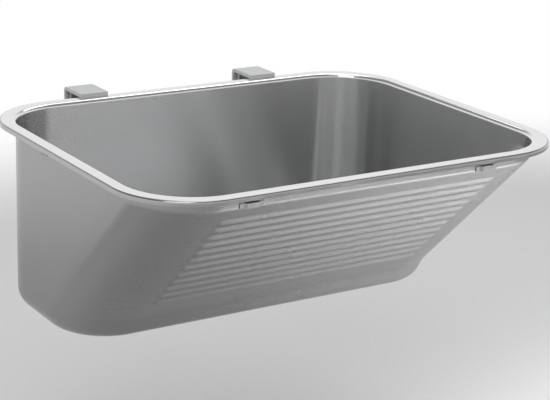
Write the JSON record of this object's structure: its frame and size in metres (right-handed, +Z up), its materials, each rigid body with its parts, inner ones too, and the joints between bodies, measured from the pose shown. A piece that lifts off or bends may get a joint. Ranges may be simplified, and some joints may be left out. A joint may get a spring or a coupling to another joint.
{
  "type": "utility sink",
  "caption": "Wall-hung utility sink: a pressed steel bowl with a ribbed slanted front, wall brackets with rim clamps, straps under the rim, and a plug waste.",
  "frame": {"origin": "on the wall's face, midway between the brackets and midway between the upper and lower wall holes", "axes": "+Z up; +Y towards the wall; +X to the right of a person who faces the sink"},
  "size_m": [0.5, 0.44, 0.2445],
  "materials": {
    "bowl_steel": "satin stainless sheet, polished on the rim",
    "strap_steel": "satin stainless strip",
    "bracket_paint": "matt light grey coat",
    "zinc_steel": "bright zinc plate",
    "buffer_rubber": "matt",
    "seal_rubber": "matt",
    "plug_rubber": "satin",
    "polished_steel": "polished stainless",
    "waste_plastic": "matt"
  },
  "bodies": {
    "sink": {"basin": "bowl_steel", "upper_seal": "seal_rubber", "lower_seal": "seal_rubber", "waste_flange": "polished_steel", "waste_screw": "polished_steel", "waste_body": "waste_plastic", "front_strap_left": "strap_steel", "front_strap_right": "strap_steel", "side_strap_left": "strap_steel", "side_strap_right": "strap_steel", "rear_strap_left": "strap_steel", "rear_strap_right": "strap_steel", "wall_bracket_left": "bracket_paint", "wall_buffer_left": "buffer_rubber", "clamp_jaw_left": "zinc_steel", "clamp_stud_left": "zinc_steel", "clamp_washer_left": "zinc_steel", "clamp_nut_left": "zinc_steel", "wall_bracket_right": "bracket_paint", "wall_buffer_right": "buffer_rubber", "clamp_jaw_right": "zinc_steel", "clamp_stud_right": "zinc_steel", "clamp_washer_right": "zinc_steel", "clamp_nut_right": "zinc_steel"},
    "plug": {"plug": "plug_rubber", "plug_eye": "polished_steel"},
    "pull_ring": {"plug_ring": "polished_steel"}
  },
  "joints": [
    {"name": "plug_lift", "type": "slide", "parent": "sink", "child": "plug", "axis": [0, 0, 1], "range_m": [0, 0.25]},
    {"name": "pull_ring_fold", "type": "hinge", "parent": "plug", "child": "pull_ring", "pos_m": [0, -0.13, -0.1154], "axis": [-1, 0, 0], "range_deg": [0, 180]}
  ]
}
